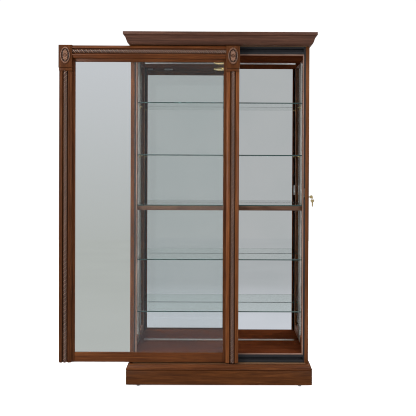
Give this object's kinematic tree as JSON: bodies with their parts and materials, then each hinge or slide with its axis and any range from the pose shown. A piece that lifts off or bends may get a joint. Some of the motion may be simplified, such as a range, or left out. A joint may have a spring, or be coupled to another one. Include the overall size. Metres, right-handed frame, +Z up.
{
  "type": "curio cabinet",
  "caption": "Tall wood and glass curio cabinet with a mirrored back, glass shelves, a lit ceiling and a wide framed glass door that slides sideways on a hung track.",
  "frame": {"origin": "centre of the base's footprint, on the floor under the levelling glides", "axes": "+X right seen from the front, +Y towards the mirrored back (the front faces -Y), +Z up; the door is stored slid to the left"},
  "size_m": [1.4775, 0.4545, 2.032],
  "materials": {
    "wood_brown": "satin stained brown",
    "wood_inside": "satin stained brown",
    "wood_plain": "matt",
    "black_paint": "painted satin black",
    "clear_glass": "clear",
    "shelf_glass": "clear with green edges",
    "mirror": "silvered",
    "aluminium": "satin",
    "black_metal": "black anodised",
    "brass": "polished",
    "steel": "zinc plated",
    "nylon": "moulded",
    "lamp_lens": "lit diffuser"
  },
  "bodies": {
    "case": {"back_mirror": "mirror", "back_panel": "wood_plain", "back_stiles": "wood_brown", "base_deck": "wood_plain", "base_mouldings": "wood_brown", "bottom_track": "black_metal", "ceiling_panel": "wood_inside", "crown_mouldings": "wood_brown", "fixed_shelf_front_rail": "wood_brown", "fixed_shelf_glass": "shelf_glass", "fixed_shelf_rails": "wood_brown", "floor_panel": "wood_inside", "glass_shelves": "shelf_glass", "glide_blocks": "wood_plain", "header_rail": "black_paint", "left_face_stile": "black_paint", "left_front_stile": "wood_brown", "light_housing": "brass", "light_lens": "lamp_lens", "lock_barrel": "brass", "lock_nut": "steel", "mirror_channels": "aluminium", "opening_trim": "wood_inside", "plinth_back": "wood_plain", "plinth_front": "wood_brown", "plinth_sides": "wood_brown", "right_face_stile": "black_paint", "right_front_stile": "wood_brown", "shelf_clips": "brass", "side_bottom_rails": "wood_brown", "side_glass": "clear_glass", "side_top_rails": "wood_brown", "sill_rail": "black_paint", "top_panel": "wood_plain", "top_track": "black_metal"},
    "door": {"bottom_guides": "nylon", "door_bottom_rail": "wood_brown", "door_corner_blocks": "wood_brown", "door_glass": "clear_glass", "door_glass_stops": "wood_brown", "door_hangers": "steel", "door_left_stile": "wood_brown", "door_pilasters": "wood_brown", "door_right_stile": "wood_brown", "door_ropes": "wood_brown", "door_rosettes": "wood_brown", "door_screws": "steel", "door_top_moulding": "wood_brown", "door_top_rail": "wood_brown", "strike_plate": "brass"},
    "roller_left": {"roller_left": "nylon"},
    "roller_right": {"roller_right": "nylon"},
    "lock_core": {"lock_plug": "brass", "lock_cam": "steel"},
    "key": {"key": "brass"},
    "spare_key": {"spare_key_and_ring": "brass"},
    "glide_front_left": {"glide_front_left": "steel"},
    "glide_front_right": {"glide_front_right": "steel"},
    "glide_back_left": {"glide_back_left": "steel"},
    "glide_back_right": {"glide_back_right": "steel"}
  },
  "joints": [
    {"name": "door_slide", "type": "slide", "parent": "case", "child": "door", "axis": [1, 0, 0], "range_m": [0, 0.812]},
    {"name": "roller_left_spin", "type": "hinge", "parent": "door", "child": "roller_left", "pos_m": [-0.471, -0.14, 1.9373], "axis": [0, 1, 0], "continuous": true},
    {"name": "roller_right_spin", "type": "hinge", "parent": "door", "child": "roller_right", "pos_m": [-0.341, -0.14, 1.9373], "axis": [0, 1, 0], "continuous": true},
    {"name": "lock_turn", "type": "hinge", "parent": "case", "child": "lock_core", "pos_m": [0.505, -0.115, 1.091], "axis": [1, 0, 0], "range_deg": [0, 90]},
    {"name": "key_pull", "type": "slide", "parent": "lock_core", "child": "key", "axis": [1, 0, 0], "range_m": [0, 0.03]},
    {"name": "spare_key_swing", "type": "hinge", "parent": "key", "child": "spare_key", "pos_m": [0.5405, -0.115, 1.091], "axis": [0, 1, 0], "range_deg": [-60, 12]},
    {"name": "glide_front_left_level", "type": "slide", "parent": "case", "child": "glide_front_left", "axis": [0, 0, 1], "range_m": [-0.01, 0]},
    {"name": "glide_front_right_level", "type": "slide", "parent": "case", "child": "glide_front_right", "axis": [0, 0, 1], "range_m": [-0.01, 0]},
    {"name": "glide_back_left_level", "type": "slide", "parent": "case", "child": "glide_back_left", "axis": [0, 0, 1], "range_m": [-0.01, 0]},
    {"name": "glide_back_right_level", "type": "slide", "parent": "case", "child": "glide_back_right", "axis": [0, 0, 1], "range_m": [-0.01, 0]}
  ],
  "couplings": [
    {"joint": "roller_left_spin", "follows": "door_slide", "rad_per_m": 111.11},
    {"joint": "roller_right_spin", "follows": "door_slide", "rad_per_m": 111.11}
  ]
}
